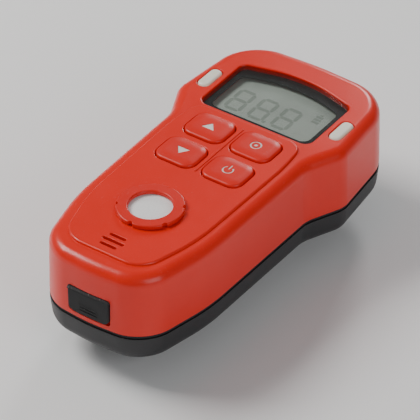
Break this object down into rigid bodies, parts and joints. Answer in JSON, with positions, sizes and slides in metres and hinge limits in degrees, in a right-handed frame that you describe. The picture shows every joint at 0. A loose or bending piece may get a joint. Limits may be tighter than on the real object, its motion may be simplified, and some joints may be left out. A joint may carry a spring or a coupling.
{
  "type": "portable gas detector",
  "caption": "Hand-held gas detector with display, keys, alarm lights, sensor port under a twist ring, and a sprung belt clip.",
  "frame": {"origin": "on the resting plane, under the middle of the whole detector", "axes": "+X to the user's right, +Y towards the end with the display, +Z out of the face"},
  "size_m": [0.0656, 0.1299, 0.0451],
  "materials": {
    "red_shell": "moulded ABS, satin",
    "black_shell": "moulded ABS, fine grain",
    "rubber": "moulded, matt",
    "red_key": "moulded, satin",
    "clear_window": "clear polycarbonate, polished",
    "lcd_glass": "grey-green reflective display",
    "white_plastic": "moulded",
    "frosted_lens": "frosted, light-diffusing",
    "white_membrane": "porous white membrane",
    "steel": "bright nickel plate",
    "board_green": "solder mask over glass fibre",
    "chip_black": "moulded epoxy",
    "silicone": "moulded silicone",
    "cell_wrap": "shrink sleeve",
    "lead_red": "insulated wire",
    "lead_black": "insulated wire"
  },
  "bodies": {
    "housing": {"alarm_led_left": "white_plastic", "alarm_led_right": "white_plastic", "alarm_lens_left": "frosted_lens", "alarm_lens_right": "frosted_lens", "battery": "cell_wrap", "battery_lead_negative": "lead_black", "battery_lead_positive": "lead_red", "battery_pad": "rubber", "battery_plug": "white_plastic", "board_connector": "chip_black", "board_screw_lower_left": "steel", "board_screw_lower_right": "steel", "board_screw_upper_left": "steel", "board_screw_upper_right": "steel", "buzzer": "chip_black", "case_screw_bottom_left": "steel", "case_screw_bottom_right": "steel", "case_screw_top_left": "steel", "case_screw_top_right": "steel", "charging_jack": "chip_black", "clip_base": "steel", "clip_pin": "steel", "clip_screw_lower": "steel", "clip_screw_upper": "steel", "clip_spring": "steel", "display_screw_left": "steel", "display_screw_right": "steel", "display_window": "clear_window", "filter_disc": "white_membrane", "front_shell": "red_shell", "gas_sensor": "white_plastic", "key_board": "board_green", "key_switch_down": "steel", "key_switch_enter": "steel", "key_switch_power": "steel", "key_switch_up": "steel", "keypad_mat": "silicone", "lcd_backlight": "white_plastic", "lcd_panel": "lcd_glass", "main_board": "board_green", "microcontroller": "chip_black", "rear_shell": "black_shell", "sensor_gasket": "rubber", "sensor_mesh": "steel", "sensor_socket": "chip_black", "shell_seal": "rubber", "vibration_motor": "steel", "window_gasket": "rubber"},
    "key_up": {"key_up": "red_key"},
    "key_enter": {"key_enter": "red_key"},
    "key_down": {"key_down": "red_key"},
    "key_power": {"key_power": "red_key"},
    "clip_lever": {"clip_lever": "steel"},
    "port_cover": {"port_cover": "rubber"},
    "sensor_cap": {"sensor_cap": "red_key"},
    "motor_weight": {"motor_weight": "steel"}
  },
  "joints": [
    {"name": "up_press", "type": "slide", "parent": "housing", "child": "key_up", "axis": [0, 0, -1], "range_m": [0, 0.0008], "stiffness_N_per_m": 400, "springref_m": -0.002, "deforming": ["keypad_mat"]},
    {"name": "enter_press", "type": "slide", "parent": "housing", "child": "key_enter", "axis": [0, 0, -1], "range_m": [0, 0.0008], "stiffness_N_per_m": 400, "springref_m": -0.002, "deforming": ["keypad_mat"]},
    {"name": "down_press", "type": "slide", "parent": "housing", "child": "key_down", "axis": [0, 0, -1], "range_m": [0, 0.0008], "stiffness_N_per_m": 400, "springref_m": -0.002, "deforming": ["keypad_mat"]},
    {"name": "power_press", "type": "slide", "parent": "housing", "child": "key_power", "axis": [0, 0, -1], "range_m": [0, 0.0008], "stiffness_N_per_m": 400, "springref_m": -0.002, "deforming": ["keypad_mat"]},
    {"name": "clip_open", "type": "hinge", "parent": "housing", "child": "clip_lever", "pos_m": [0, 0.014, 0.0045], "axis": [1, 0, 0], "range_deg": [0, 20], "stiffness_Nm_per_rad": 0.38, "springref_deg": -29.79, "deforming": ["clip_spring"]},
    {"name": "port_cover_open", "type": "hinge", "parent": "housing", "child": "port_cover", "pos_m": [0, -0.0643, 0.0309], "axis": [-1, 0, 0], "range_deg": [0, 100]},
    {"name": "sensor_cap_turn", "type": "hinge", "parent": "housing", "child": "sensor_cap", "pos_m": [0, -0.032, 0.0438], "axis": [0, 0, 1], "range_deg": [0, 60]},
    {"name": "motor_spin", "type": "hinge", "parent": "housing", "child": "motor_weight", "pos_m": [-0.012, 0.036, 0.0257], "axis": [0, 1, 0], "continuous": true}
  ]
}
